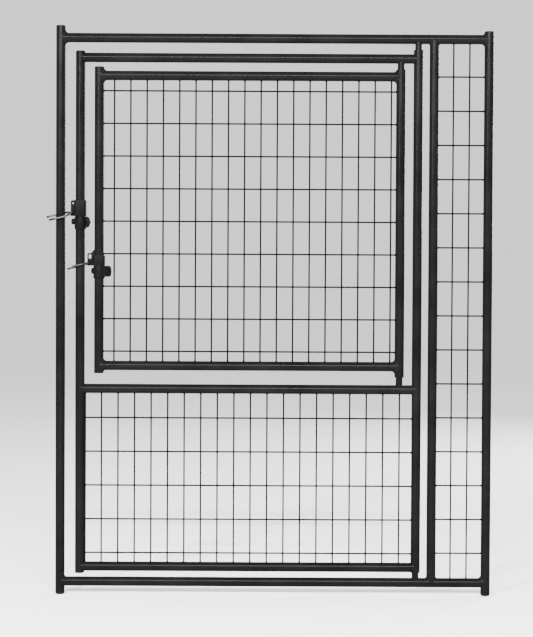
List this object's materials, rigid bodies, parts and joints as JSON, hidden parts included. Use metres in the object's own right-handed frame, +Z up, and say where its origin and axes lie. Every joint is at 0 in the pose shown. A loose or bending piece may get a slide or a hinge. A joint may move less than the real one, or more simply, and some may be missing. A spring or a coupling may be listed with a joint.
{
  "type": "livestock panel gate",
  "caption": "Upright pen panel of black round tube and welded wire, with a latched hinged door and a smaller latched hatch inside the door.",
  "frame": {"origin": "centre of the left post's foot, on the ground", "axes": "+X along the panel to the right post, +Y to the back, +Z up; the front with the latches' rounded forks faces -Y"},
  "size_m": [1.3492, 0.0539, 1.7151],
  "materials": {
    "coated_tube": "black satin powder coat on round steel tube",
    "coated_wire": "black satin powder coat on welded wire",
    "cap_plastic": "black moulded plug",
    "nylon": "natural nylon bush",
    "bare_ring": "bare steel ring inside the sleeve",
    "latch_black": "black coated pressed steel and fasteners",
    "zinc_rod": "dull zinc-plated rod",
    "dark_rod": "darkened steel rod"
  },
  "bodies": {
    "frame": {"left_post": "coated_tube", "right_post": "coated_tube", "mullion_post": "coated_tube", "top_rail": "coated_tube", "bottom_rail": "coated_tube", "door_pivot_post": "coated_tube", "door_thrust_ring": "bare_ring", "strip_mesh_uprights": "coated_wire", "strip_mesh_crosswires": "coated_wire", "frame_weld_fillets": "coated_tube", "post_foot_caps": "cap_plastic", "post_top_caps": "cap_plastic"},
    "door": {"door_latch_stile": "coated_tube", "door_hinge_sleeve": "coated_tube", "door_top_rail": "coated_tube", "door_middle_rail": "coated_tube", "door_bottom_rail": "coated_tube", "door_bush_upper": "nylon", "door_bush_lower": "nylon", "hatch_pivot_post": "coated_tube", "hatch_thrust_ring": "bare_ring", "door_mesh_uprights": "coated_wire", "door_mesh_crosswires": "coated_wire", "door_weld_fillets": "coated_tube", "door_stile_caps": "cap_plastic", "door_latch_strap": "latch_black", "door_latch_rivet": "latch_black", "door_collar_front": "latch_black", "door_collar_rear": "latch_black", "door_collar_bolts": "latch_black", "door_collar_nuts": "latch_black"},
    "hatch": {"hatch_latch_stile": "coated_tube", "hatch_hinge_sleeve": "coated_tube", "hatch_top_rail": "coated_tube", "hatch_bottom_rail": "coated_tube", "hatch_bush_upper": "nylon", "hatch_bush_lower": "nylon", "hatch_mesh_uprights": "coated_wire", "hatch_mesh_crosswires": "coated_wire", "hatch_weld_fillets": "coated_tube", "hatch_stile_caps": "cap_plastic", "hatch_latch_strap": "latch_black", "hatch_latch_rivet": "latch_black", "hatch_collar_front": "latch_black", "hatch_collar_rear": "latch_black", "hatch_collar_bolts": "latch_black", "hatch_collar_nuts": "latch_black"},
    "door_fork": {"door_latch_fork": "zinc_rod"},
    "hatch_fork": {"hatch_latch_fork": "dark_rod"}
  },
  "joints": [
    {"name": "door_hinge", "type": "hinge", "parent": "frame", "child": "door", "pos_m": [1.076, 0, 0.855], "axis": [0, 0, 1], "range_deg": [-90, 90]},
    {"name": "hatch_hinge", "type": "hinge", "parent": "door", "child": "hatch", "pos_m": [1.0237, 0, 1.13], "axis": [0, 0, 1], "range_deg": [-90, 90]},
    {"name": "door_fork_lift", "type": "hinge", "parent": "door", "child": "door_fork", "pos_m": [0.0363, 0, 1.1537], "axis": [0, 1, 0], "range_deg": [0, 100]},
    {"name": "hatch_fork_lift", "type": "hinge", "parent": "hatch", "child": "hatch_fork", "pos_m": [0.0866, 0, 1.002], "axis": [0, 1, 0], "range_deg": [0, 100]}
  ]
}
